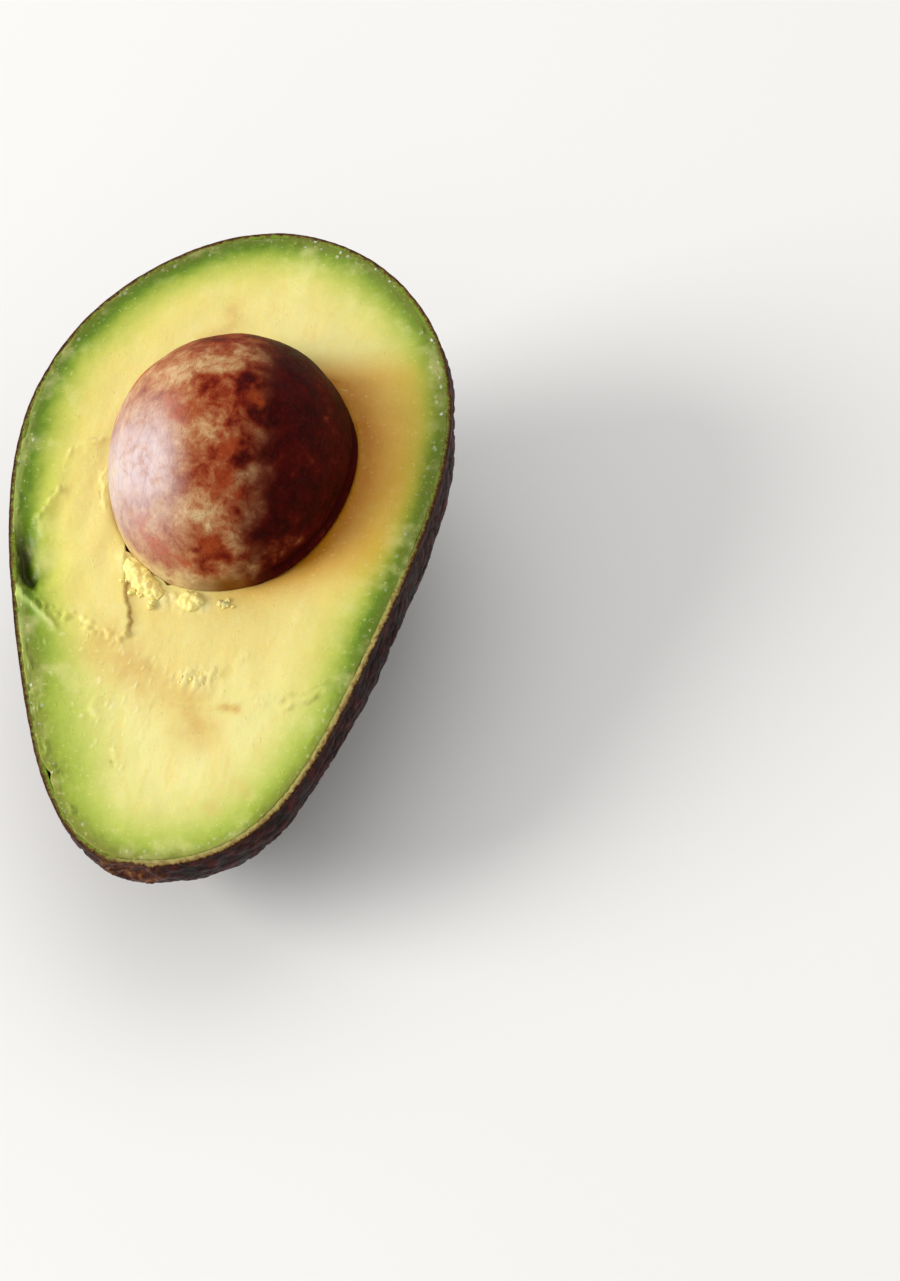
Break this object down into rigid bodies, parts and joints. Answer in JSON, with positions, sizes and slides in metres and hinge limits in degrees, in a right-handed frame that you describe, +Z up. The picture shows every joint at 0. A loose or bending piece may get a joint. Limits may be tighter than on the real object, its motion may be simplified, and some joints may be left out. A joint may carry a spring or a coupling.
{
  "type": "avocado half",
  "caption": "Half of a ripe avocado cut lengthwise, with dark pebbly skin, green-edged flesh and the stone still in its hollow.",
  "frame": {"origin": "centre of the small flattened rest spot under the skin", "axes": "+Z up, +Y towards the fat base end, -Y towards the neck with the stem scar; the cut face tilts 10 degrees down towards the neck"},
  "size_m": [0.0661, 0.1069, 0.0542],
  "materials": {
    "skin": "satin",
    "flesh": "satin",
    "stone": "satin"
  },
  "bodies": {
    "root": {"skin": "skin", "flesh": "flesh", "stone": "stone"}
  },
  "joints": []
}
